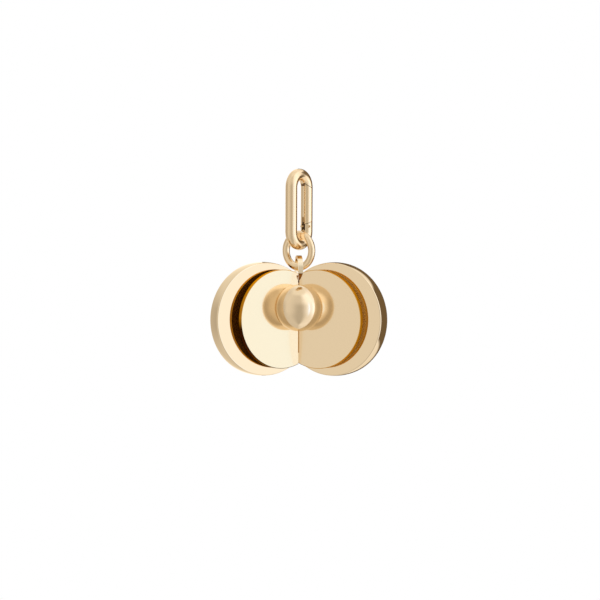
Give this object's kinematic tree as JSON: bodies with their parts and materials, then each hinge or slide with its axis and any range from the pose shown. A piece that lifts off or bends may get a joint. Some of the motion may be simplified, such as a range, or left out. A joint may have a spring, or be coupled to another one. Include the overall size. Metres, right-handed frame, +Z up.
{
  "type": "charm pendant",
  "caption": "Gold-plated charm of stacked mirror-polished discs folded into a wide V with a ball set in the fold, hanging by a bail and jump ring from an oval link clasp with a push gate.",
  "frame": {"origin": "inside top of the clasp's upper bow, the point where the whole charm hangs", "axes": "+Z up as it hangs, the open side of the V and the ball face -Y, +X to the viewer's right"},
  "size_m": [0.0348, 0.0128, 0.0413],
  "materials": {
    "polished_gold_plate": "mirror-polished gold plating on brass",
    "satin_gold_plate": "soft satin gold plating on brass wire"
  },
  "bodies": {
    "clasp": {"clasp_body": "satin_gold_plate", "gate_pin": "satin_gold_plate"},
    "gate": {"clasp_gate": "satin_gold_plate"},
    "ring": {"jump_ring": "satin_gold_plate"},
    "charm": {"bail": "polished_gold_plate", "ball": "polished_gold_plate", "front_disc_left": "polished_gold_plate", "front_disc_right": "polished_gold_plate", "back_disc_left": "polished_gold_plate", "back_disc_right": "polished_gold_plate", "spacer": "polished_gold_plate"}
  },
  "joints": [
    {"name": "gate", "type": "hinge", "parent": "clasp", "child": "gate", "pos_m": [0.00123, 0.00164, -0.00915], "axis": [0.7986, -0.6018, 0], "range_deg": [0, 17], "stiffness_Nm_per_rad": 0.002, "springref_deg": -11.46},
    {"name": "ring", "type": "hinge", "parent": "clasp", "child": "ring", "pos_m": [0, 0, -0.01269], "axis": [0.6018, 0.7986, 0], "range_deg": [-60, 60]},
    {"name": "charm", "type": "hinge", "parent": "ring", "child": "charm", "pos_m": [0, 0, -0.01725], "axis": [0.9659, -0.2588, 0], "range_deg": [-35, 30]}
  ]
}
